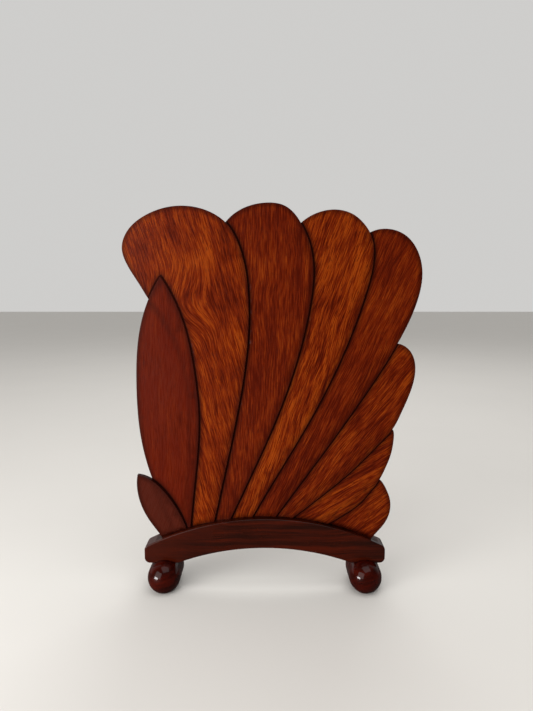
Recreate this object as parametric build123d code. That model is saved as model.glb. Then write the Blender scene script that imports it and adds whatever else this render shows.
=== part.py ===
"""Free-standing wooden fire screen shaped like an open fan.

Nine lapped wooden leaves rise out of one arched rail that stands on two oblong bun feet.
Millimetres. X runs to the viewer's right, Y away from the viewer, Z up.
The origin is on the floor, midway between the two sides of the fan and midway through the rail.
"""
import os

from build123d import *

# Overall size
FAN_WIDTH = 478.0
FAN_HEIGHT = 635.0
RAIL_TOP = 121.5

# Leaves: one flat back, fronts sloping from a thin left edge to a proud right edge
LEAF_BACK = 5.0
LEAF_PROUD = 10.0
LEAF_THIN = 6.4
SMALL_PROUD = 11.0
SMALL_THIN = 7.0
TONGUE = 4.0
LAP = 12.0
ARRIS = 1.0

# The outlines further down are drawn for these sizes and stretched to the ones above
DRAWN_WIDTH = 478.0
DRAWN_HEIGHT = 635.0
DRAWN_RAIL_TOP = 121.5
STRETCH_X = FAN_WIDTH / DRAWN_WIDTH
STRETCH_Z = (FAN_HEIGHT - RAIL_TOP) / (DRAWN_HEIGHT - DRAWN_RAIL_TOP)

# Rail
RAIL_LENGTH = 0.841 * FAN_WIDTH
RAIL_SHIFT = -0.025 * FAN_WIDTH
RAIL_THICK = 32.0
RAIL_RISE = 48.6
RAIL_SEAT = 45.0
ARCH_SPAN = 0.72 * RAIL_LENGTH
ARCH_RISE = 26.0
RAIL_END_ROUND = 9.0
RAIL_ARCH_ROUND = 5.0
RAIL_EDGE_ROUND = 2.0

# Groove in the rail that takes the heels of the leaves
GROOVE_DEPTH = 15.0
GROOVE_CLEARANCE = 0.2
HEEL = 5.8
GROOVE_LEFT = -0.3923 * FAN_WIDTH
GROOVE_RIGHT = 0.3556 * FAN_WIDTH

# Bun feet: round ends with a straight middle between them, cut flat underneath
FOOT_SPREAD = RAIL_LENGTH / 2 - 33.0
FOOT_WIDTH = 54.0
FOOT_DEPTH = 92.0
FOOT_HEIGHT = 51.0

# Fixings
DOWEL_RADIUS = 4.0
DOWEL_LENGTH = 28.0
DOWEL_OFFSET = 14.0
FOOT_SCREW_RADIUS = 2.5
FOOT_SCREW_LENGTH = 46.0
FOOT_SCREW_RECESS = 14.0
RAIL_SCREW_RADIUS = 1.75
RAIL_SCREW_LENGTH = 20.0
RAIL_SCREW_DROP = 8.0
LAP_SCREW_RADIUS = 1.25
LAP_SCREW_LENGTH = 8.0
HEAD_RATIO = 2.0
SLOT_RATIO = 0.3

# Right-hand edge of each leaf, drawn from inside the groove up to the tip of a pointed leaf
# or to the notch that a round-ended leaf shares with the next one
SMALL_EDGE = [(-138, 80), (-143, 101), (-163, 143), (-180, 166), (-203, 186), (-224, 193)]
TALL_EDGE = [(-138, 80), (-130, 165), (-120, 297), (-126, 367), (-147, 460), (-178, 521)]
SEAMS = [
    [(-101, 90), (-76, 206), (-55, 307), (-40, 406), (-38, 490), (-50, 562), (-74, 605)],
    [(-81, 90), (-29, 206), (14, 307), (46, 406), (63, 490), (63, 557), (45, 604)],
    [(-49, 90), (16, 206), (73, 307), (119, 406), (152, 502), (161, 550), (154, 589)],
    [(-15, 90), (67, 206), (137, 307), (202, 412)],
    [(5, 95), (92, 165), (138, 206), (177, 247), (198, 271)],
    [(73, 95), (118, 123), (146, 144), (164, 165), (178, 184)],
]
# Rounded ends of the last six leaves, from the notch on the left round towards the right
ENDS = [
    [(-74, 605), (-51, 624), (-9, 635), (20, 630), (36, 617)],
    [(45, 604), (59, 614), (83, 623), (105, 624), (129, 616), (145, 602)],
    [(154, 589), (178, 595), (209, 586), (232, 557), (239, 525), (233, 484), (219, 446)],
    [(202, 412), (221, 404), (233, 372), (228, 340), (213, 301)],
    [(198, 271), (201, 250), (197, 228), (188, 204)],
    [(178, 184), (191, 169), (198, 149), (197, 127), (186, 105), (171, 87), (158, 60)],
]
# Screws along each lap, as fractions of the seam from the rail upward
LAP_STATIONS = (0.3, 0.55, 0.8)
SMALL_LAP_STATIONS = (0.35, 0.52)
# Where the screws through the rail catch the leaves
HEEL_CENTRES = (-174, -150, -119, -88, -56, -22, 10, 60, 132)


def arc_radius(span, rise):
    """Radius of an arc from its chord and its height."""
    return (span ** 2 / 4 + rise ** 2) / (2 * rise)


BACK_PLANE = Plane(origin=(0, LEAF_BACK, 0), x_dir=(1, 0, 0), z_dir=(0, -1, 0))
MID_PLANE = Plane.XZ
RAIL_TOP_RADIUS = arc_radius(RAIL_LENGTH, RAIL_RISE)
RAIL_TOP_CENTRE = (RAIL_SHIFT, RAIL_TOP - RAIL_TOP_RADIUS)
ARCH_RADIUS = arc_radius(ARCH_SPAN, ARCH_RISE)
ARCH_CENTRE = (RAIL_SHIFT, RAIL_SEAT + ARCH_RISE - ARCH_RADIUS)


def drawn(points):
    """Outline points stretched from the drawn size to the real one."""
    return [Vector(x * STRETCH_X, RAIL_TOP + (z - DRAWN_RAIL_TOP) * STRETCH_Z) for x, z in points]


def disc(radius, centre):
    """Flat disc in the plane of the fan."""
    return Pos(centre[0], centre[1]) * Circle(radius)


def hidden_edge(seam):
    """Left edge of a leaf, running LAP behind the seam and rounding in to the notch."""
    points = drawn(seam)
    chord = points[-1] - points[0]
    shift = Vector(-chord.Y, chord.X).normalized() * LAP
    along = Vector(shift.Y, -shift.X)
    shoulder = points[-1] + shift * 0.5 - along
    return [point + shift for point in points[:-1]] + [shoulder]


def outline(*runs):
    """Closed face whose edge is a chain of smooth runs, finished by a straight foot."""
    edges = [Spline(*run) for run in runs]
    foot = Line(edges[-1] @ 1, edges[0] @ 0)
    return make_face(edges + [foot])


def small_outline():
    left = [(-176, 60), (-187, 86), (-204, 110), (-217, 134), (-225, 165), (-224, 193)]
    return outline(drawn(left), drawn(SMALL_EDGE[::-1]))


def tall_outline():
    left = [(-158, 70), (-180, 135), (-200, 185), (-217, 254), (-222, 348), (-215, 430), (-178, 521)]
    return outline(drawn(left), drawn(TALL_EDGE[::-1]))


def left_petal_outline():
    """Broad leaf behind the tall one; its round end shows on both sides of the tall tip."""
    behind = [(-150, 75), (-143, 165), (-134, 297), (-145, 380), (-172, 445), (-199, 485)]
    side = [(-214, 510), (-232, 540), (-239, 565), (-230, 591), (-200, 616), (-161, 629), (-120, 628), (-94, 619)]
    return outline(drawn(behind + side + SEAMS[0][::-1]))


def petal_outline(index):
    """One of the five leaves that lie between two seams."""
    behind = hidden_edge(SEAMS[index])
    return outline(behind + drawn(ENDS[index] + SEAMS[index + 1][::-1]))


def last_petal_outline():
    """Lowest leaf on the right, whose rounded end runs down into the rail."""
    behind = hidden_edge(SEAMS[-1])
    return outline(behind + drawn(ENDS[-1]))


def slope_cutter(low, high, thin, proud):
    """Everything in front of a leaf's sloping face.

    low and high are straight guides (foot, top) along the thin and the proud edge.
    """
    low_foot, low_top = drawn(low)
    high_foot, high_top = drawn(high)

    def guide(across):
        ends = []
        for along in (-0.05, 1.6):
            left = low_foot + (low_top - low_foot) * along
            right = high_foot + (high_top - high_foot) * along
            flat = left + (right - left) * across
            thick = thin + (proud - thin) * across
            ends.append((flat.X, LEAF_BACK - thick, flat.Y))
        return Edge.make_line(*ends)

    face = Face.make_surface_from_curves(guide(-1.5), guide(2.5))
    return Solid.extrude(face, Vector(0, -4 * LEAF_PROUD, 0))


def chord(seam):
    return seam[0], seam[-1]


def leaf_outlines():
    petals = [petal_outline(index) for index in range(len(SEAMS) - 1)]
    return [small_outline(), tall_outline(), left_petal_outline()] + petals + [last_petal_outline()]


def leaf_slopes():
    """Guides and edge thicknesses for every leaf, left to right."""
    small = (((-185, 60), (-240, 193)), ((-138, 80), (-190, 200)), SMALL_THIN, SMALL_PROUD)
    tall = (((-165, 80), (-222, 521)), ((-134, 80), (-128, 521)), LEAF_THIN, LEAF_PROUD)
    lows = [chord(TALL_EDGE)] + [chord(seam) for seam in SEAMS]
    highs = [chord(seam) for seam in SEAMS] + [((150, 60), (215, 145))]
    petals = [(low, high, LEAF_THIN, LEAF_PROUD) for low, high in zip(lows, highs)]
    return [small, tall] + petals


def make_leaf(index, outlines, slopes, fixings):
    """One leaf: lapped under its left neighbour, over its right one, heel in the groove."""
    def plate(face, start, stop):
        return extrude(BACK_PLANE.offset(start) * face, stop - start)

    leaf = plate(outlines[index], 0, 2 * LEAF_PROUD) - slope_cutter(*slopes[index])
    front = leaf.faces().filter_by(lambda face: face.normal_at().Y < -0.5).sort_by(SortBy.AREA)[-1]
    leaf = fillet(front.edges().sort_by(Axis.Z)[1:], ARRIS)
    if index > 0:
        leaf -= plate(outlines[index - 1], TONGUE, 2 * LEAF_PROUD)
    if index > 1:
        leaf -= plate(outlines[index - 2], 0, 2 * LEAF_PROUD)
    if index < len(outlines) - 1:
        leaf -= plate(outlines[index + 1], 0, TONGUE)
    leaf -= plate(disc(RAIL_TOP_RADIUS - GROOVE_DEPTH, RAIL_TOP_CENTRE), 0, 2 * LEAF_PROUD)
    leaf -= plate(disc(RAIL_TOP_RADIUS, RAIL_TOP_CENTRE), HEEL, 2 * LEAF_PROUD)
    for fixing in fixings:
        leaf -= fixing
    return leaf


def rail_profile():
    """Arched bar with a flat seat at each end."""
    height = RAIL_TOP - RAIL_SEAT
    block = Pos(RAIL_SHIFT, RAIL_SEAT + height / 2) * Rectangle(RAIL_LENGTH, height)
    profile = (block & disc(RAIL_TOP_RADIUS, RAIL_TOP_CENTRE)) - disc(ARCH_RADIUS, ARCH_CENTRE)
    corners = profile.vertices().sort_by(Axis.X)
    profile = fillet(corners[:2] + corners[-2:], RAIL_END_ROUND)
    seat = profile.vertices().filter_by(lambda v: abs(v.Y - RAIL_SEAT) < 0.01)
    inner = seat.sort_by(lambda v: abs(v.X - RAIL_SHIFT))[:2]
    return fillet(inner, RAIL_ARCH_ROUND)


def rail_blank():
    bar = extrude(MID_PLANE * rail_profile(), RAIL_THICK / 2, both=True)
    faces = bar.faces().filter_by(Axis.Y)
    return fillet(faces[0].edges() + faces[-1].edges(), RAIL_EDGE_ROUND)


def make_rail(blank, fixings):
    reach = GROOVE_RIGHT - GROOVE_LEFT
    strip = Pos((GROOVE_LEFT + GROOVE_RIGHT) / 2, RAIL_TOP) * Rectangle(reach, 2 * RAIL_TOP)
    mouth = strip - disc(RAIL_TOP_RADIUS - GROOVE_DEPTH, RAIL_TOP_CENTRE)
    rail = blank - extrude(BACK_PLANE * mouth, HEEL + GROOVE_CLEARANCE)
    for fixing in fixings:
        rail -= fixing
    return rail


def foot_places():
    return [RAIL_SHIFT - FOOT_SPREAD, RAIL_SHIFT + FOOT_SPREAD]


def make_foot(place, blank, fixings):
    """Oblong bun with a pocket on top that seats the end of the rail."""
    radius = FOOT_WIDTH / 2
    reach = FOOT_DEPTH / 2 - radius
    bun = Rot(90, 0, 0) * Cylinder(radius, 2 * reach)
    for end in (-reach, reach):
        bun += Pos(0, end, 0) * Sphere(radius)
    foot = Pos(place, 0, FOOT_HEIGHT - radius) * bun - blank
    foot -= Pos(place, 0, -FOOT_DEPTH / 2) * Box(FOOT_DEPTH, FOOT_DEPTH, FOOT_DEPTH)
    for fixing in fixings:
        foot -= fixing
    return foot


def screw_body(radius, length):
    """Countersunk screw pointing down, its head flush with Z = 0."""
    head = HEAD_RATIO * radius
    taper = head - radius
    point = 2 * radius
    profile = Polyline((0, 0), (head, 0), (radius, -taper), (radius, point - length), (0, -length), close=True)
    return revolve(Plane.XZ * make_face(profile), Axis.Z)


def slotted(body, radius):
    slot = Box(3 * HEAD_RATIO * radius, SLOT_RATIO * radius, SLOT_RATIO * radius * 2)
    return body - slot


def rail_screw_places():
    """Screws driven from the back of the rail, following its curve."""
    radius = RAIL_TOP_RADIUS - RAIL_SCREW_DROP
    places = []
    for centre in HEEL_CENTRES:
        x = centre * STRETCH_X
        rise = (radius ** 2 - (x - RAIL_SHIFT) ** 2) ** 0.5
        places.append(Pos(x, RAIL_THICK / 2, RAIL_TOP_CENTRE[1] + rise) * Rot(-90, 0, 0))
    return places


def lap_screw_places():
    """Screws driven from the back through each tongue into the leaf in front of it."""
    places = []
    for seam in [SMALL_EDGE, TALL_EDGE] + SEAMS:
        curve = Spline(*drawn(seam))
        for station in SMALL_LAP_STATIONS if seam is SMALL_EDGE else LAP_STATIONS:
            spot = curve @ station
            along = curve % station
            spot += Vector(-along.Y, along.X) * LAP / 2
            places.append(Pos(spot.X, LEAF_BACK, spot.Y) * Rot(-90, 0, 0))
    return places


def foot_screw_places():
    return [Pos(x, 0, FOOT_SCREW_RECESS) * Rot(180, 0, 0) for x in foot_places()]


def make_dowels():
    pin = Cylinder(DOWEL_RADIUS, DOWEL_LENGTH)
    spots = [x + side * DOWEL_OFFSET for x in foot_places() for side in (-1, 1)]
    return [Pos(x, 0, RAIL_SEAT) * pin for x in spots]


def screw_set(places, radius, length):
    """Screws as driven, and the plain bodies that cut their holes."""
    body = screw_body(radius, length)
    return [place * slotted(body, radius) for place in places], [place * body for place in places]


def save(name, shapes):
    export_step(Compound(label=name, children=list(shapes)), f"parts/{name}.step")


def main():
    os.makedirs("parts", exist_ok=True)
    rail_screws, rail_holes = screw_set(rail_screw_places(), RAIL_SCREW_RADIUS, RAIL_SCREW_LENGTH)
    lap_screws, lap_holes = screw_set(lap_screw_places(), LAP_SCREW_RADIUS, LAP_SCREW_LENGTH)
    foot_screws, foot_holes = screw_set(foot_screw_places(), FOOT_SCREW_RADIUS, FOOT_SCREW_LENGTH)
    dowels = make_dowels()
    recesses = [
        Pos(x, 0, FOOT_SCREW_RECESS / 2) * Cylinder(HEAD_RATIO * FOOT_SCREW_RADIUS, FOOT_SCREW_RECESS)
        for x in foot_places()
    ]
    names = ["small_leaf", "tall_leaf"] + [f"petal_{number}" for number in range(1, 8)]
    outlines = leaf_outlines()
    slopes = leaf_slopes()
    for index, name in enumerate(names):
        leaf = make_leaf(index, outlines, slopes, rail_holes + lap_holes)
        save(name, leaf.solids())
    blank = rail_blank()
    save("rail", make_rail(blank, rail_holes + foot_holes + dowels).solids())
    for side, x in zip(("left", "right"), foot_places()):
        save(f"foot_{side}", make_foot(x, blank, foot_holes + dowels + recesses).solids())
    save("rail_screws", rail_screws)
    save("lap_screws", lap_screws)
    save("foot_screws", foot_screws)
    save("foot_dowels", dowels)


if __name__ == "__main__":
    main()
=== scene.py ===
"""Looks of a fan-shaped wooden fire screen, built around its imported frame.

Nine lapped hardwood leaves, an arched rail and two oblong bun feet. Metres, the frame's own axes:
X to the viewer's right, Y away from the viewer, Z up.
"""

import math

import bmesh
import bpy
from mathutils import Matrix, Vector, noise
from mathutils.bvhtree import BVHTree


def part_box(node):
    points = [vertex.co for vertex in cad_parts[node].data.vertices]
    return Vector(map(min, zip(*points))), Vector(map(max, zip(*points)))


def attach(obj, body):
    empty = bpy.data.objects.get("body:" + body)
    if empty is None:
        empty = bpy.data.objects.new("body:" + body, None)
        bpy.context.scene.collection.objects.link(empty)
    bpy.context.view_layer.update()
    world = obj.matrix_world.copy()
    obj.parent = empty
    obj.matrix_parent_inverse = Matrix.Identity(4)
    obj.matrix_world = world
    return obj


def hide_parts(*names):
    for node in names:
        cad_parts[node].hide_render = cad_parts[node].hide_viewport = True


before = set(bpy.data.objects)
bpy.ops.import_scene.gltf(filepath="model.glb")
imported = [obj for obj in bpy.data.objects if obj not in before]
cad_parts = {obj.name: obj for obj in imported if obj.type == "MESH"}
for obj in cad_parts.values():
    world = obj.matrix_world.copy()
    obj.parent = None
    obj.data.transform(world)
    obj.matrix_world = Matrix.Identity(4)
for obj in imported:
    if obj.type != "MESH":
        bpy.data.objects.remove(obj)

bl_info = {
    "name": "Fan fire screen",
    "version": (1, 0, 0),
    "blender": (4, 5, 0),
    "location": "3D View > Sidebar > Fan screen",
    "description": "Builds the leaves, rail, feet and fixings of a wooden fan fire screen",
    "category": "Object",
}

MM = 0.001
BODY = "root"
LEAVES = ["small_leaf", "tall_leaf"] + [f"petal_{number}" for number in range(1, 8)]
FEET = ["foot_left", "foot_right"]
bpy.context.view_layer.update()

# Each leaf's own cut of wood: the lean of its grain from upright towards the right in degrees,
# how bright and how red it is, and how strong its stripes and streaks are
LEAF_CUTS = {
    "small_leaf": dict(lean=20, tone=0.00, red=0.25, stripe=0.15, streak=0.25),
    "tall_leaf": dict(lean=2, tone=0.28, red=0.45, stripe=0.60, streak=0.45),
    "petal_1": dict(lean=-14, tone=0.46, red=0.10, stripe=0.75, streak=0.80),
    "petal_2": dict(lean=1, tone=0.30, red=0.40, stripe=0.65, streak=0.90),
    "petal_3": dict(lean=17, tone=0.52, red=0.15, stripe=0.90, streak=1.00),
    "petal_4": dict(lean=24, tone=0.36, red=0.35, stripe=0.70, streak=0.85),
    "petal_5": dict(lean=38, tone=0.48, red=0.30, stripe=0.80, streak=1.00),
    "petal_6": dict(lean=58, tone=0.52, red=0.30, stripe=1.40, streak=1.00),
    "petal_7": dict(lean=48, tone=0.46, red=0.30, stripe=0.60, streak=1.10),
}

# The leaf whose grain swirls: the swirl's centre, its radius and how far it pushes the grain
SWIRL_LEAF = "petal_1"
SWIRL = ((-0.150, 0, 0.470), 0.075, 0.030)

# Width across and run along the grain, in metres
STRIPE_SIZE = (0.0085, 0.110)
STREAK_SIZE = (0.0013, 0.024)
PORE_SIZE = (0.0010, 0.0110)
GRAIN_WANDER = 0.020

# Darkening by distance, along a leaf's own rims and, as painted shade and a painted shadow line, beside
# its left neighbour in the seams: where it starts to fade, where it ends, and how strong it is before
# that
RIM_SHADE = (0.0005, 0.010, 0.62)
SEAM_SHADOW_LINE = (0.0022, 0.0044, 0.97)
SEAM_SHADE = (0.0010, 0.012, 0.62)

# Parts of a wood screw as shares of its head's radius, and its thread's share of the plain rod
HEAD_DEPTH = 0.5
CORE_RADIUS = 0.40
SLOT_LENGTH = 3.0
SLOT_DEPTH = 0.5
THREAD_HEIGHT = 0.09
THREAD_SHARE = 0.94

# Depth of a dowel's flutes as a share of its radius, and where along its length the taper starts
FLUTE_DEPTH = 0.03
TAPER_START = 0.42

# Lights: place, height of the point each faces, width and height, share of the set power, colour
LIGHTS = {
    "window": ((-1.7, -1.9, 1.25), 0.30, (2.2, 2.0), 0.68, (1.0, 0.98, 0.95)),
    "low_pane": ((-1.25, -0.98, 0.18), 0.15, (0.65, 0.30), 0.42, (1, 1, 1)),
    "soft_top": ((0.3, -0.6, 2.4), 0.30, (2.0, 2.0), 0.35, (1, 1, 1)),
    "soft_back": ((0.4, 2.2, 3.0), 0.30, (2.0, 1.2), 0.55, (1, 1, 1)),
}
FLOOR_HALF = 12.0


# Sizes and colours a user would change

def tint(name, description, colour):
    """A colour setting."""
    return bpy.props.FloatVectorProperty(
        name=name, description=description, subtype="COLOR", size=3, min=0, max=1, default=colour
    )


def length(name, description, metres):
    """A length setting."""
    return bpy.props.FloatProperty(
        name=name, description=description, unit="LENGTH", min=0, default=metres
    )


class FanWood(bpy.types.PropertyGroup):
    """Stain colours and surface of the wood."""

    dark: tint("Dark grain", "Darkest streaks in the leaves", (0.036, 0.0026, 0.0002))
    body: tint("Leaf stain", "Middle colour of the leaves", (0.108, 0.0100, 0.0004))
    bright: tint("Bright grain", "Brightest streaks in the leaves", (0.225, 0.036, 0.0014))
    maroon: tint("Maroon stain", "Red stain of the pointed leaves", (0.062, 0.0042, 0.0008))
    plain: tint("Plain stain", "Stain of the smallest leaf", (0.046, 0.0075, 0.0038))
    rail: tint("Rail stain", "Middle colour of the rail", (0.018, 0.0026, 0.0008))
    foot: tint("Foot stain", "Middle colour of the feet", (0.014, 0.0009, 0.0002))
    dowel: tint("Dowel wood", "Bare wood of the dowels", (0.55, 0.34, 0.17))
    wave: length("Hand-planed wave", "How far the faces rise and fall", 0.00012)
    cell: length("Mesh cell", "Size of the mesh cells on the leaves", 0.008)


class FanFixings(bpy.types.PropertyGroup):
    """Screws and dowels."""

    brass: tint("Brass", "Metal of the screws in the back", (0.50, 0.33, 0.13))
    steel: tint("Steel", "Metal of the screws under the feet", (0.42, 0.42, 0.43))
    slot: bpy.props.FloatProperty(
        name="Slot width", description="Slot width as a share of the head's radius", default=0.22,
        min=0.05, max=0.6, subtype="FACTOR"
    )
    pitch: bpy.props.FloatProperty(
        name="Thread pitch", description="Thread pitch as a share of the shank's radius", default=0.9,
        min=0.2, max=3, subtype="FACTOR"
    )
    flutes: bpy.props.IntProperty(name="Flutes", description="Grooves round a dowel", default=12, min=3)


class FanStage(bpy.types.PropertyGroup):
    """Floor, lights and camera."""

    floor: tint("Floor", "Colour of the plain floor", (0.64, 0.62, 0.59))
    key: bpy.props.FloatProperty(
        name="Light power", description="Power that each light has a share of", default=55, min=0,
        unit="POWER"
    )
    fill: bpy.props.FloatProperty(
        name="Room light", description="Strength of the light from all round", default=0.62, min=0
    )
    distance: length("Camera distance", "From the camera to the middle of the rail", 0.8617)
    height: length("Camera height", "Height of the camera above the floor", 0.4975)
    side: bpy.props.FloatProperty(
        name="Camera side", description="Camera's place to the right", default=-0.009, unit="LENGTH"
    )
    pitch: bpy.props.FloatProperty(
        name="Camera pitch", description="How far the camera looks down", default=math.radians(6.9),
        subtype="ANGLE"
    )
    lens: bpy.props.FloatProperty(
        name="Focal length", description="In millimetres on a sensor 36 mm high", default=27.04, min=5
    )


# Node helpers

def add(tree, kind, **settings):
    """A new node with its plain settings."""
    made = tree.nodes.new(kind)
    for name, value in settings.items():
        setattr(made, name, value)
    return made


def feed(tree, made, **inputs):
    """Gives a node's inputs a value or a link; spaces in a name are written as underscores."""
    for name, value in inputs.items():
        target = made.inputs[name.replace("_", " ")]
        connect(tree, target, value)
    return made


def connect(tree, target, value):
    """Sets a socket to a value, or links it if the value is a socket."""
    if isinstance(value, bpy.types.NodeSocket):
        tree.links.new(value, target)
    else:
        target.default_value = value


def maths(tree, operation, *values):
    """A Math node's result."""
    made = add(tree, "ShaderNodeMath", operation=operation)
    for target, value in zip(made.inputs, values):
        connect(tree, target, value)
    return made.outputs[0]


def vector_maths(tree, operation, *values):
    """A Vector Math node's result."""
    made = add(tree, "ShaderNodeVectorMath", operation=operation)
    for target, value in zip(made.inputs, values):
        connect(tree, target, value)
    return made.outputs["Value"] if operation in {"LENGTH", "DISTANCE"} else made.outputs[0]


def weighted(tree, first, first_share, second, second_share):
    """Two values added up by their shares."""
    shares = [maths(tree, "MULTIPLY", *pair) for pair in ((first, first_share), (second, second_share))]
    return maths(tree, "ADD", *shares)


def axes(tree, vector):
    """A vector's X, Y and Z."""
    split = add(tree, "ShaderNodeSeparateXYZ")
    tree.links.new(vector, split.inputs[0])
    return split.outputs


def own_place(tree):
    """The object's own coordinates."""
    return add(tree, "ShaderNodeTexCoord").outputs["Object"]


def ramp(tree, value, low, high, to_low=0.0, to_high=1.0):
    """A value moved smoothly from one range to another and held at its ends."""
    made = add(tree, "ShaderNodeMapRange", interpolation_type="SMOOTHSTEP")
    for name, number in zip(("From Min", "From Max", "To Min", "To Max"), (low, high, to_low, to_high)):
        made.inputs[name].default_value = number
    connect(tree, made.inputs["Value"], value)
    return made.outputs["Result"]


def blend(tree, share, first, second, mode="MIX"):
    """Two colours mixed."""
    made = add(tree, "ShaderNodeMix", data_type="RGBA", blend_type=mode)
    connect(tree, made.inputs["Factor"], share)
    for name, value in (("A", first), ("B", second)):
        target = [socket for socket in made.inputs if socket.name == name and socket.type == "RGBA"][0]
        connect(tree, target, value if isinstance(value, bpy.types.NodeSocket) else (*value, 1))
    return [socket for socket in made.outputs if socket.type == "RGBA"][0]


def noise_value(tree, place, scale, detail=2.0, distortion=0.0):
    """A Noise Texture's value."""
    made = add(tree, "ShaderNodeTexNoise")
    feed(tree, made, Vector=place, Scale=scale, Detail=detail, Distortion=distortion)
    return made.outputs[0]


def group_tree(name, inputs, outputs, kind="ShaderNodeTree"):
    """An empty node group with its sockets, and its input and output nodes."""
    tree = bpy.data.node_groups.new(name, kind)
    for label, socket_type, default in inputs:
        made = tree.interface.new_socket(label, in_out="INPUT", socket_type=socket_type)
        if default is not None:
            made.default_value = default
    for label, socket_type in outputs:
        tree.interface.new_socket(label, in_out="OUTPUT", socket_type=socket_type)
    return tree, tree.nodes.new("NodeGroupInput").outputs, tree.nodes.new("NodeGroupOutput").inputs


def grain_group():
    """Straight grain along Z: wide stripes, fine streaks, short pores and slow clouds."""
    if "Straight grain" in bpy.data.node_groups:
        return bpy.data.node_groups["Straight grain"]
    tree, given, result = group_tree(
        "Straight grain",
        [("Vector", "NodeSocketVector", None), ("Length", "NodeSocketFloat", 1.0)],
        [(name, "NodeSocketFloat") for name in ("Stripe", "Streak", "Pore", "Cloud")],
    )
    wander = noise_value(tree, given["Vector"], 7.0, 2.0)
    shift = maths(tree, "MULTIPLY", maths(tree, "SUBTRACT", wander, 0.5), GRAIN_WANDER)
    side, depth, along = axes(tree, given["Vector"])
    across = maths(tree, "ADD", side, shift)
    stretched = maths(tree, "DIVIDE", along, given["Length"])

    def band(size, detail, distortion=0.0):
        """Noise drawn out along the grain."""
        width, run = size
        place = add(tree, "ShaderNodeCombineXYZ")
        feed(tree, place, X=maths(tree, "DIVIDE", across, width))
        feed(tree, place, Y=maths(tree, "DIVIDE", depth, width * 2))
        feed(tree, place, Z=maths(tree, "DIVIDE", stretched, run))
        return noise_value(tree, place.outputs[0], 1.0, detail, distortion)

    tree.links.new(band(STRIPE_SIZE, 2.0, 0.3), result["Stripe"])
    tree.links.new(band(STREAK_SIZE, 3.0), result["Streak"])
    tree.links.new(band(PORE_SIZE, 1.0), result["Pore"])
    tree.links.new(noise_value(tree, given["Vector"], 16.0, 3.0), result["Cloud"])
    return tree


def grain_place(tree, lean, seed, swirl=None):
    """The object's own coordinates, turned so that Z runs along the grain."""
    place = own_place(tree)
    if swirl:
        centre, reach, push = swirl
        away = vector_maths(tree, "DISTANCE", place, centre)
        side = add(tree, "ShaderNodeCombineXYZ")
        feed(tree, side, X=ramp(tree, away, 0.0, reach, push, 0.0))
        place = vector_maths(tree, "ADD", place, side.outputs[0])
    mapping = add(tree, "ShaderNodeMapping", vector_type="TEXTURE")
    mapping.inputs["Location"].default_value = (seed * 0.37, seed * 0.11, seed * 0.23)
    mapping.inputs["Rotation"].default_value = (0, math.radians(lean), 0)
    connect(tree, mapping.inputs["Vector"], place)
    return mapping.outputs[0]


def fresh_material(name):
    """A new material with its Principled shader."""
    made = bpy.data.materials.new(name)
    made.use_nodes = True
    return made, made.node_tree, made.node_tree.nodes["Principled BSDF"]


def set_surface(shader, **values):
    """Plain numbers on the shader's own sockets."""
    for name, value in values.items():
        shader.inputs[name.replace("_", " ")].default_value = value


def bump(tree, shader, height, distance, strength=1.0):
    """Height fed to the shader's normal."""
    made = add(tree, "ShaderNodeBump")
    feed(tree, made, Height=height, Distance=distance, Strength=strength)
    tree.links.new(made.outputs[0], shader.inputs["Normal"])


def attribute(tree, name):
    """A number kept on the mesh's points."""
    return add(tree, "ShaderNodeAttribute", attribute_name=name).outputs["Fac"]


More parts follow.
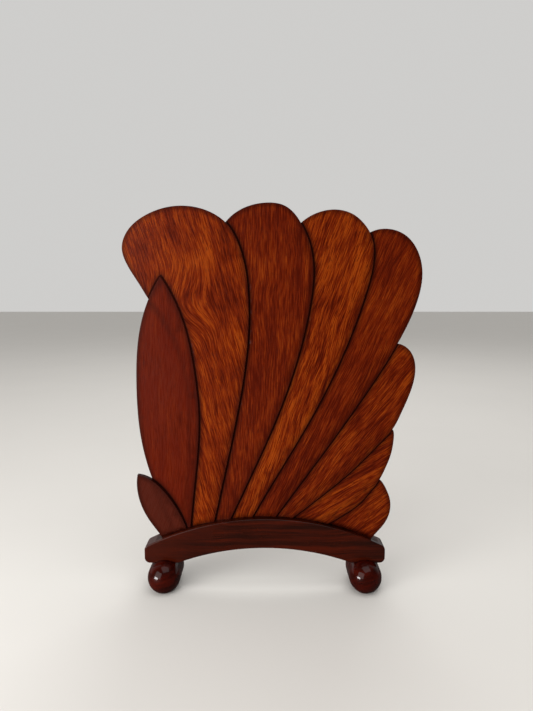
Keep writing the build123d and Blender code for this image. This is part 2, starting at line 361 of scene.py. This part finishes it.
def leaf_material(name, seed):
    """Satin-lacquered hardwood with painted shade and a painted shadow line in the seams, darker along
    its own rims and at the tips.
    """
    wood = bpy.context.scene.fan_wood
    cut = LEAF_CUTS[name]
    made, tree, shader = fresh_material(f"{name} wood")
    place = grain_place(tree, cut["lean"], seed, SWIRL if name == SWIRL_LEAF else None)
    grain = add(tree, "ShaderNodeGroup", node_tree=grain_group())
    feed(tree, grain, Vector=place, Length=1.0)
    stripe, streak, pore, cloud = grain.outputs

    def centred(value, amount):
        """A value moved to lie about nought and made stronger or weaker."""
        return maths(tree, "MULTIPLY", maths(tree, "SUBTRACT", value, 0.5), amount)

    stripes = centred(stripe, 1.7 * cut["stripe"])
    streaks = centred(streak, 2.6 * cut["streak"])
    level = maths(tree, "ADD", maths(tree, "ADD", stripes, streaks), centred(cloud, 0.9))
    level = maths(tree, "ADD", level, cut["tone"])
    colours = add(tree, "ShaderNodeValToRGB")
    band = colours.color_ramp
    band.elements[0].color = (*wood.dark, 1)
    band.elements[1].color = (*wood.bright, 1)
    middle = band.elements.new(0.45)
    middle.color = (*wood.body, 1)
    connect(tree, colours.inputs[0], level)
    colour = blend(tree, cut["red"], colours.outputs[0], wood.maroon)
    if name == "small_leaf":
        colour = blend(tree, 0.85, colour, wood.plain)
    if name == "tall_leaf":
        colour = blend(tree, ramp(tree, cloud, 0.30, 0.70, 0.0, 0.8), colour, wood.maroon)
    pits = ramp(tree, pore, 0.56, 0.70, 0.0, 0.30 + 0.45 * cut["streak"])
    colour = blend(tree, pits, colour, wood.dark)
    # Painted shade: darker along the leaf's own rims, with a near-black painted shadow line and softer
    # painted shade beside its left neighbour in the seam
    rim = ramp(tree, attribute(tree, "rim"), *RIM_SHADE, 0.0)
    seam_shadow = ramp(tree, attribute(tree, "seam"), *SEAM_SHADOW_LINE, 0.0)
    soft = ramp(tree, attribute(tree, "seam"), *SEAM_SHADE, 0.0)
    shade = maths(tree, "MAXIMUM", maths(tree, "MAXIMUM", rim, soft), seam_shadow)
    # The painted shade and painted shadow take a dimmed dark grain colour
    colour = blend(tree, shade, colour, [channel * 0.30 for channel in wood.dark])
    tree.links.new(colour, shader.inputs["Base Color"])
    rough_where_shaded = ramp(tree, shade, 0.50, 0.85, 0.0, 0.6)
    satin = ramp(tree, streak, 0.3, 0.7, 0.24, 0.32)
    tree.links.new(maths(tree, "ADD", satin, rough_where_shaded), shader.inputs["Roughness"])
    tree.links.new(ramp(tree, shade, 0.25, 0.60, 0.03, 0.0), shader.inputs["Coat Weight"])
    set_surface(shader, Specular_IOR_Level=0.05, Coat_Roughness=0.12)
    bump(tree, shader, maths(tree, "SUBTRACT", streak, pits), 0.00012, 0.5)
    return made


def rail_material():
    """Dark hardwood with its grain along the rail, and a painted sheen that makes it brighter and
    redder towards the left end, nearest the light.
    """
    wood = bpy.context.scene.fan_wood
    made, tree, shader = fresh_material("Rail wood")
    place = grain_place(tree, 90, 3.1)
    grain = add(tree, "ShaderNodeGroup", node_tree=grain_group())
    feed(tree, grain, Vector=place, Length=2.2)
    stripe, streak, pore, cloud = grain.outputs
    level = weighted(tree, stripe, 0.9, streak, 0.6)
    dark = [channel * 0.62 for channel in wood.rail]
    red = (wood.rail[0] * 2.3, wood.rail[1] * 1.5, wood.rail[2] * 0.8)
    colour = blend(tree, ramp(tree, level, 0.55, 1.05), dark, red)
    left_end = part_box("rail")[0].x
    # Painted sheen: the left end, nearest the light, is painted brighter and redder
    left_end_sheen = ramp(tree, axes(tree, own_place(tree))["X"], left_end + 0.02, left_end + 0.11, 0.55, 0.0)
    colour = blend(tree, left_end_sheen, colour, red)
    colour = blend(tree, ramp(tree, pore, 0.60, 0.72, 0.0, 0.6), colour, dark)
    tree.links.new(colour, shader.inputs["Base Color"])
    tree.links.new(ramp(tree, cloud, 0.3, 0.7, 0.24, 0.38), shader.inputs["Roughness"])
    set_surface(shader, Specular_IOR_Level=0.06, Coat_Weight=0.30, Coat_Roughness=0.12)
    bump(tree, shader, streak, 0.00012, 0.4)
    return made


def foot_material():
    """Polished dark red hardwood with its grain nearly along the rail."""
    wood = bpy.context.scene.fan_wood
    made, tree, shader = fresh_material("Foot wood")
    grain = add(tree, "ShaderNodeGroup", node_tree=grain_group())
    feed(tree, grain, Vector=grain_place(tree, 75, 5.7), Length=1.2)
    stripe, streak, pore, cloud = grain.outputs
    red = (wood.foot[0] * 2.6, wood.foot[1] * 2.2, wood.foot[2] * 1.6)
    level = weighted(tree, stripe, 0.9, streak, 0.5)
    colour = blend(tree, ramp(tree, level, 0.50, 0.95), wood.foot, red)
    colour = blend(tree, ramp(tree, pore, 0.62, 0.72, 0.0, 0.5), colour, (0.006, 0.002, 0.001))
    tree.links.new(colour, shader.inputs["Base Color"])
    tree.links.new(ramp(tree, cloud, 0.3, 0.7, 0.22, 0.32), shader.inputs["Roughness"])
    set_surface(shader, Specular_IOR_Level=0.03, Coat_Weight=0.34, Coat_Roughness=0.05)
    bump(tree, shader, streak, 0.00008, 0.25)
    return made


def dowel_material():
    """Bare pale hardwood."""
    wood = bpy.context.scene.fan_wood
    made, tree, shader = fresh_material("Dowel wood")
    grain = add(tree, "ShaderNodeGroup", node_tree=grain_group())
    feed(tree, grain, Vector=grain_place(tree, 0, 1.3), Length=1.0)
    brown = [channel * 0.6 for channel in wood.dowel]
    tree.links.new(blend(tree, grain.outputs["Streak"], wood.dowel, brown), shader.inputs["Base Color"])
    set_surface(shader, Roughness=0.7)
    bump(tree, shader, grain.outputs["Pore"], 0.0001, 0.5)
    return made


def metal_material(name, colour, roughness):
    """Dulled screw metal, darker and rougher where it has tarnished."""
    made, tree, shader = fresh_material(name)
    place = own_place(tree)
    tarnish = ramp(tree, noise_value(tree, place, 900.0, 4.0), 0.40, 0.66)
    brown = (colour[0] * 0.35, colour[1] * 0.28, colour[2] * 0.22)
    tree.links.new(blend(tree, tarnish, colour, brown), shader.inputs["Base Color"])
    dull = ramp(tree, tarnish, 0.0, 1.0, roughness, roughness + 0.25)
    tree.links.new(dull, shader.inputs["Roughness"])
    set_surface(shader, Metallic=1.0)
    bump(tree, shader, noise_value(tree, place, 2600.0, 2.0), 0.00005, 0.4)
    return made


# Meshes

def welded(node):
    """A CAD node's loose triangles joined into one shell."""
    shell = bmesh.new()
    shell.from_mesh(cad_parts[node].data)
    bmesh.ops.remove_doubles(shell, verts=shell.verts, dist=0.01 * MM)
    bmesh.ops.dissolve_degenerate(shell, edges=shell.edges, dist=0.01 * MM)
    return shell


def cut_into_cells(shell, size):
    """Cuts every face along planes across X and across Z, and leaves the shape as it is."""
    for axis in (0, 2):
        values = [vert.co[axis] for vert in shell.verts]
        count = max(2, round((max(values) - min(values)) / size))
        step = (max(values) - min(values)) / count
        normal = Vector((0, 0, 0))
        normal[axis] = 1
        for index in range(1, count):
            bmesh.ops.bisect_plane(
                shell, geom=shell.verts[:] + shell.edges[:] + shell.faces[:], dist=1e-6,
                plane_co=normal * (min(values) + step * index), plane_no=normal
            )


def side_tree(shell):
    """Nearest-point search over the edge faces of a leaf."""
    corners = [vert.co.copy() for vert in shell.verts]
    faces = [[vert.index for vert in face.verts] for face in shell.faces if abs(face.normal.y) < 0.6]
    return BVHTree.FromPolygons(corners, faces)


def finish_piece(shell, name, material, node, smooth=30.0):
    """Turns a shell into a named piece that stands for its CAD node."""
    mesh = bpy.data.meshes.new(name)
    shell.to_mesh(mesh)
    shell.free()
    mesh.shade_smooth()
    mesh.set_sharp_from_angle(angle=math.radians(smooth))
    return place_piece(evened(mesh, name), name, material, node)


def evened(mesh, name):
    """The same mesh with normals weighted by area, so that wide faces stay flat up to their edges."""
    holder = bpy.data.objects.new(f"{name}_rough", mesh)
    bpy.context.scene.collection.objects.link(holder)
    weighted = holder.modifiers.new("Weighted normals", "WEIGHTED_NORMAL")
    weighted.weight = 90
    weighted.keep_sharp = True
    bpy.context.view_layer.update()
    plain = bpy.data.meshes.new_from_object(holder.evaluated_get(bpy.context.evaluated_depsgraph_get()))
    bpy.data.objects.remove(holder)
    bpy.data.meshes.remove(mesh)
    plain.name = name
    return plain


def place_piece(mesh, name, material, node):
    """Puts a mesh on the body in the place of a CAD node, with that node's finish slot."""
    piece = bpy.data.objects.new(name, mesh)
    bpy.context.scene.collection.objects.link(piece)
    if material:
        mesh.materials.clear()
        mesh.materials.append(material)
    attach(piece, BODY)
    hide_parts(node)
    return piece


def planed(shell, rims, wave):
    """A faint rise and fall over the faces, as a hand plane and sandpaper leave."""
    for vert in shell.verts:
        away = rims[vert.index]
        if abs(vert.normal.y) > 0.95 and away > 2 * MM:
            fade = min(1.0, (away - 2 * MM) / (10 * MM))
            rise = noise.noise(Vector((vert.co.x * 14, 0.5, vert.co.z * 9)))
            vert.co.y += wave * fade * rise


def build_leaf(index, name):
    """One leaf with its distances to its own rim and to its left neighbour kept on the mesh."""
    wood = bpy.context.scene.fan_wood
    shell = welded(name)
    cut_into_cells(shell, wood.cell)
    shell.normal_update()
    shell.verts.index_update()
    own = side_tree(shell)
    rims = [own.find_nearest(vert.co)[3] for vert in shell.verts]
    seams = [1.0] * len(rims)
    if index:
        neighbour = welded(LEAVES[index - 1])
        left = BVHTree.FromBMesh(neighbour)
        seams = [left.find_nearest(vert.co)[3] for vert in shell.verts]
        neighbour.free()
    planed(shell, rims, wood.wave)
    for label, values in (("rim", rims), ("seam", seams)):
        layer = shell.verts.layers.float.new(label)
        for vert, value in zip(shell.verts, values):
            vert[layer] = value
    return finish_piece(shell, f"{name}_board", leaf_material(name, index + 1.0), name)


# Fixings

def islands(node):
    """Lowest and highest corner of each separate solid in a CAD node."""
    shell = welded(node)
    shell.verts.ensure_lookup_table()
    seen = set()
    found = []
    for start in shell.verts:
        if start in seen:
            continue
        group = []
        waiting = [start]
        seen.add(start)
        while waiting:
            vert = waiting.pop()
            group.append(vert.co.copy())
            for edge in vert.link_edges:
                other = edge.other_vert(vert)
                if other not in seen:
                    seen.add(other)
                    waiting.append(other)
        low = Vector([min(co[axis] for co in group) for axis in range(3)])
        high = Vector([max(co[axis] for co in group) for axis in range(3)])
        found.append((low, high))
    shell.free()
    return found


def screw_tree():
    """Countersunk slotted wood screws on points, pointing down before they are turned."""
    if "Wood screws" in bpy.data.node_groups:
        return bpy.data.node_groups["Wood screws"]
    tree, given, result = group_tree(
        "Wood screws",
        [
            ("Points", "NodeSocketGeometry", None),
            ("Head Radius", "NodeSocketFloat", 0.0035),
            ("Screw Length", "NodeSocketFloat", 0.02),
            ("Slot Width", "NodeSocketFloat", 0.22),
            ("Pitch", "NodeSocketFloat", 0.9),
            ("Turn", "NodeSocketVector", None),
            ("Metal", "NodeSocketMaterial", None),
        ],
        [("Screws", "NodeSocketGeometry")],
        "GeometryNodeTree",
    )
    head = given["Head Radius"]
    shank = maths(tree, "MULTIPLY", head, HEAD_DEPTH)
    core = maths(tree, "MULTIPLY", head, CORE_RADIUS)
    tip = head
    body = maths(tree, "SUBTRACT", given["Screw Length"], tip)

    def moved(mesh, down):
        """A mesh moved down."""
        offset = feed(tree, add(tree, "ShaderNodeCombineXYZ"), Z=maths(tree, "MULTIPLY", down, -1.0))
        shifted = add(tree, "GeometryNodeTransform")
        return feed(tree, shifted, Geometry=mesh, Translation=offset.outputs[0]).outputs[0]

    cone = add(tree, "GeometryNodeMeshCone")
    feed(tree, cone, Vertices=32, Radius_Top=head, Radius_Bottom=core, Depth=shank)
    slot_size = add(tree, "ShaderNodeCombineXYZ")
    feed(tree, slot_size, X=maths(tree, "MULTIPLY", head, SLOT_LENGTH))
    feed(tree, slot_size, Y=maths(tree, "MULTIPLY", head, given["Slot Width"]))
    feed(tree, slot_size, Z=maths(tree, "MULTIPLY", head, SLOT_DEPTH))
    slot = feed(tree, add(tree, "GeometryNodeMeshCube"), Size=slot_size.outputs[0])
    head_mesh = moved(cone.outputs["Mesh"], shank)
    carved = add(tree, "GeometryNodeMeshBoolean", operation="DIFFERENCE")
    tree.links.new(head_mesh, carved.inputs["Mesh 1"])
    tree.links.new(slot.outputs["Mesh"], carved.inputs["Mesh 2"])
    rod = add(tree, "GeometryNodeMeshCylinder")
    rod_length = maths(tree, "SUBTRACT", body, shank)
    feed(tree, rod, Vertices=24, Radius=core, Depth=rod_length)
    rod_middle = maths(tree, "ADD", shank, maths(tree, "MULTIPLY", rod_length, 0.5))
    point = add(tree, "GeometryNodeMeshCone")
    feed(tree, point, Vertices=24, Radius_Top=core, Radius_Bottom=0.0, Depth=tip)
    spiral = add(tree, "GeometryNodeCurveSpiral")
    turns = maths(tree, "DIVIDE", rod_length, maths(tree, "MULTIPLY", shank, given["Pitch"]))
    feed(tree, spiral, Resolution=16, Rotations=turns, Start_Radius=core, End_Radius=core)
    feed(tree, spiral, Height=maths(tree, "MULTIPLY", rod_length, THREAD_SHARE))
    ridge = feed(tree, add(tree, "GeometryNodeCurvePrimitiveCircle"), Resolution=4)
    feed(tree, ridge, Radius=maths(tree, "MULTIPLY", head, THREAD_HEIGHT))
    thread = add(tree, "GeometryNodeCurveToMesh")
    feed(tree, thread, Curve=spiral.outputs[0], Profile_Curve=ridge.outputs[0], Fill_Caps=True)
    bare = maths(tree, "MULTIPLY", rod_length, (1 - THREAD_SHARE) / 2)
    joined = add(tree, "GeometryNodeJoinGeometry")
    for mesh in (
        carved.outputs[0],
        moved(rod.outputs["Mesh"], rod_middle),
        moved(point.outputs["Mesh"], given["Screw Length"]),
        moved(thread.outputs[0], maths(tree, "SUBTRACT", body, bare)),
    ):
        tree.links.new(mesh, joined.inputs[0])
    finish_instances(tree, given, result, joined.outputs[0], "Metal", "Screws")
    return tree


def finish_instances(tree, given, result, mesh, material, label):
    """Sets the mesh on the points, turned, and makes it real."""
    spread = add(tree, "GeometryNodeInstanceOnPoints")
    feed(tree, spread, Points=given["Points"], Instance=mesh, Rotation=given["Turn"])
    real = feed(tree, add(tree, "GeometryNodeRealizeInstances"), Geometry=spread.outputs[0])
    painted = add(tree, "GeometryNodeSetMaterial")
    feed(tree, painted, Geometry=real.outputs[0], Material=given[material])
    tree.links.new(painted.outputs[0], result[label])


def dowel_tree():
    """Fluted dowels with tapered ends, centred on points."""
    if "Fluted dowels" in bpy.data.node_groups:
        return bpy.data.node_groups["Fluted dowels"]
    tree, given, result = group_tree(
        "Fluted dowels",
        [
            ("Points", "NodeSocketGeometry", None),
            ("Radius", "NodeSocketFloat", 0.004),
            ("Dowel Length", "NodeSocketFloat", 0.028),
            ("Flutes", "NodeSocketFloat", 12.0),
            ("Turn", "NodeSocketVector", None),
            ("Wood", "NodeSocketMaterial", None),
        ],
        [("Dowels", "NodeSocketGeometry")],
        "GeometryNodeTree",
    )
    rod = add(tree, "GeometryNodeMeshCylinder")
    feed(tree, rod, Vertices=96, Side_Segments=12, Radius=given["Radius"], Depth=given["Dowel Length"])
    place = add(tree, "GeometryNodeInputPosition").outputs[0]
    side, depth, along = axes(tree, place)
    angle = maths(tree, "ARCTAN2", depth, side)
    ripple = maths(tree, "COSINE", maths(tree, "MULTIPLY", angle, given["Flutes"]))
    groove = maths(tree, "MULTIPLY", maths(tree, "ADD", ripple, 1.0), FLUTE_DEPTH)
    reach = maths(tree, "ABSOLUTE", maths(tree, "DIVIDE", along, given["Dowel Length"]))
    past = maths(tree, "MAXIMUM", maths(tree, "SUBTRACT", reach, TAPER_START), 0.0)
    taper = maths(tree, "MULTIPLY", past, 2.0)
    width = maths(tree, "SUBTRACT", maths(tree, "SUBTRACT", 1.0, groove), taper)
    shape = feed(tree, add(tree, "ShaderNodeCombineXYZ"), X=width, Y=width, Z=1.0)
    moved = add(tree, "GeometryNodeSetPosition")
    shrunk = vector_maths(tree, "MULTIPLY", place, shape.outputs[0])
    feed(tree, moved, Geometry=rod.outputs["Mesh"], Position=shrunk)
    finish_instances(tree, given, result, moved.outputs[0], "Wood", "Dowels")
    return tree


def grown(name, points, tree, inputs, node):
    """Runs a Geometry Nodes tree over points and keeps the result as a plain mesh."""
    mesh = bpy.data.meshes.new(f"{name} points")
    mesh.from_pydata(points, [], [])
    seed = bpy.data.objects.new(f"{name}_points", mesh)
    bpy.context.scene.collection.objects.link(seed)
    modifier = seed.modifiers.new(name, "NODES")
    modifier.node_group = tree
    for socket in tree.interface.items_tree:
        if socket.item_type == "SOCKET" and socket.in_out == "INPUT" and socket.name in inputs:
            modifier[socket.identifier] = inputs[socket.name]
    seed.update_tag()
    bpy.context.view_layer.update()
    evaluated = seed.evaluated_get(bpy.context.evaluated_depsgraph_get())
    plain = bpy.data.meshes.new_from_object(evaluated)
    seed.modifiers.remove(modifier)
    bpy.data.objects.remove(seed)
    if not plain.polygons:
        raise RuntimeError(f"{name} has no faces")
    plain.set_sharp_from_angle(angle=math.radians(35))
    plain.name = name
    return place_piece(plain, name, None, node)


def screws(name, node, axis, heads_high, turn, metal):
    """Screws where a CAD node has them, their heads at one end of the given axis."""
    fixings = bpy.context.scene.fan_fixings
    places = []
    for low, high in islands(node):
        spot = (low + high) / 2
        spot[axis] = high[axis] if heads_high else low[axis]
        places.append(spot)
        head = (high.x - low.x) / 2
        reach = high[axis] - low[axis]
    inputs = {
        "Head Radius": head,
        "Screw Length": reach,
        "Slot Width": fixings.slot,
        "Pitch": fixings.pitch,
        "Turn": turn,
        "Metal": metal,
    }
    return grown(name, places, screw_tree(), inputs, node)


# Operators

class FAN_OT_leaves(bpy.types.Operator):
    """Build the nine lapped leaves"""

    bl_idname = "fan.leaves"
    bl_label = "Leaves"

    def execute(self, context):
        for index, name in enumerate(LEAVES):
            build_leaf(index, name)
        return {"FINISHED"}


class FAN_OT_rail(bpy.types.Operator):
    """Finish the arched rail"""

    bl_idname = "fan.rail"
    bl_label = "Rail"

    def execute(self, context):
        finish_piece(welded("rail"), "rail_arch", rail_material(), "rail", 40.0)
        return {"FINISHED"}


class FAN_OT_feet(bpy.types.Operator):
    """Polish the two bun feet"""

    bl_idname = "fan.feet"
    bl_label = "Feet"

    def execute(self, context):
        material = foot_material()
        for node in FEET:
            finish_piece(welded(node), f"{node}_bun", material, node, 40.0)
        return {"FINISHED"}


class FAN_OT_fixings(bpy.types.Operator):
    """Make the screws and dowels"""

    bl_idname = "fan.fixings"
    bl_label = "Screws and dowels"

    def execute(self, context):
        fixings = context.scene.fan_fixings
        brass = metal_material("Dulled brass", fixings.brass, 0.32)
        steel = metal_material("Zinc steel", fixings.steel, 0.28)
        back = (-math.pi / 2, 0, 0)
        under = (math.pi, 0, 0)
        screws("rail_screw_set", "rail_screws", 1, True, back, brass)
        screws("lap_screw_set", "lap_screws", 1, True, back, brass)
        screws("foot_screw_set", "foot_screws", 2, False, under, steel)
        pins = islands("foot_dowels")
        low, high = pins[0]
        inputs = {
            "Radius": (high.x - low.x) / 2,
            "Dowel Length": high.z - low.z,
            "Flutes": float(fixings.flutes),
            "Turn": (0, 0, 0),
            "Wood": dowel_material(),
        }
        centres = [(low + high) / 2 for low, high in pins]
        grown("foot_dowel_set", centres, dowel_tree(), inputs, "foot_dowels")
        return {"FINISHED"}


def area_light(name, power):
    """A soft rectangular light that faces a point above the floor's middle."""
    place, aim, size, share, colour = LIGHTS[name]
    data = bpy.data.lights.new(name, "AREA")
    data.shape = "RECTANGLE"
    data.size = size[0]
    data.size_y = size[1]
    data.energy = power * share
    data.color = colour
    light = bpy.data.objects.new(name, data)
    bpy.context.scene.collection.objects.link(light)
    light.location = place
    light.rotation_euler = (Vector((0, 0, aim)) - Vector(place)).to_track_quat("-Z", "Y").to_euler()


def floor_material(colour):
    """Plain pale matt floor, faintly uneven, and darker where the polish of the wood mirrors it."""
    made, tree, shader = fresh_material("Pale floor")
    soft = [channel * 0.96 for channel in colour]
    deep = [channel * 0.16 for channel in colour]
    plain = blend(tree, noise_value(tree, own_place(tree), 3.0), colour, soft)
    mirrored = add(tree, "ShaderNodeLightPath").outputs["Is Glossy Ray"]
    tree.links.new(blend(tree, mirrored, plain, deep), shader.inputs["Base Color"])
    set_surface(shader, Roughness=0.75, Specular_IOR_Level=0.2)
    return made


def room_light(fill):
    """Even light from all round, which polished wood mirrors fully only from behind the screen."""
    world = bpy.data.worlds.new("room")
    world.use_nodes = True
    room = world.node_tree
    sky = room.nodes["Background"]
    sky.inputs["Color"].default_value = (1.0, 0.99, 0.97, 1)
    mirrored = add(room, "ShaderNodeLightPath").outputs["Is Glossy Ray"]
    backward = axes(room, add(room, "ShaderNodeTexCoord").outputs["Generated"])["Y"]
    behind = ramp(room, backward, -0.1, 0.4, 0.10, 1.0)
    share = maths(room, "MULTIPLY", mirrored, maths(room, "SUBTRACT", behind, 1.0))
    strength = maths(room, "MULTIPLY", maths(room, "ADD", share, 1.0), fill)
    connect(room, sky.inputs["Strength"], strength)
    return world


class FAN_OT_stage(bpy.types.Operator):
    """Set up the floor, lights and camera"""

    bl_idname = "fan.stage"
    bl_label = "Stage"

    def execute(self, context):
        stage = context.scene.fan_stage
        mesh = bpy.data.meshes.new("floor")
        corners = [(x * FLOOR_HALF, y * FLOOR_HALF, 0) for x, y in ((-1, -1), (1, -1), (1, 1), (-1, 1))]
        mesh.from_pydata(corners, [], [(0, 1, 2, 3)])
        mesh.materials.append(floor_material(stage.floor))
        floor = bpy.data.objects.new("floor", mesh)
        context.scene.collection.objects.link(floor)
        for name in LIGHTS:
            area_light(name, stage.key)
        context.scene.world = room_light(stage.fill)
        context.scene.view_settings.view_transform = "Standard"
        data = bpy.data.cameras.new("camera")
        data.sensor_fit = "VERTICAL"
        data.sensor_height = 36
        data.lens = stage.lens
        camera = bpy.data.objects.new("camera", data)
        context.scene.collection.objects.link(camera)
        camera.location = (stage.side, -stage.distance, stage.height)
        camera.rotation_euler = (math.pi / 2 - stage.pitch, 0, 0)
        context.scene.camera = camera
        return {"FINISHED"}


STEPS = (FAN_OT_leaves, FAN_OT_rail, FAN_OT_feet, FAN_OT_fixings, FAN_OT_stage)


class FAN_PT_panel(bpy.types.Panel):
    """Buttons and settings in the sidebar"""

    bl_idname = "FAN_PT_panel"
    bl_label = "Fan screen"
    bl_space_type = "VIEW_3D"
    bl_region_type = "UI"
    bl_category = "Fan screen"

    def draw(self, context):
        for step in STEPS:
            self.layout.operator(step.bl_idname)
        for group in (context.scene.fan_wood, context.scene.fan_fixings, context.scene.fan_stage):
            box = self.layout.box()
            for name in type(group).__annotations__:
                box.prop(group, name)


GROUPS = {"fan_wood": FanWood, "fan_fixings": FanFixings, "fan_stage": FanStage}
CLASSES = (*GROUPS.values(), *STEPS, FAN_PT_panel)


def register():
    """Registers the classes and hangs the settings on the scene."""
    for item in CLASSES:
        bpy.utils.register_class(item)
    for name, group in GROUPS.items():
        setattr(bpy.types.Scene, name, bpy.props.PointerProperty(type=group))


def unregister():
    """Takes the settings and the classes away."""
    for name in GROUPS:
        delattr(bpy.types.Scene, name)
    for item in reversed(CLASSES):
        bpy.utils.unregister_class(item)


def main():
    """Builds everything."""
    register()
    bpy.ops.fan.leaves()
    bpy.ops.fan.rail()
    bpy.ops.fan.feet()
    bpy.ops.fan.fixings()
    bpy.ops.fan.stage()


if __name__ == "__main__":
    main()
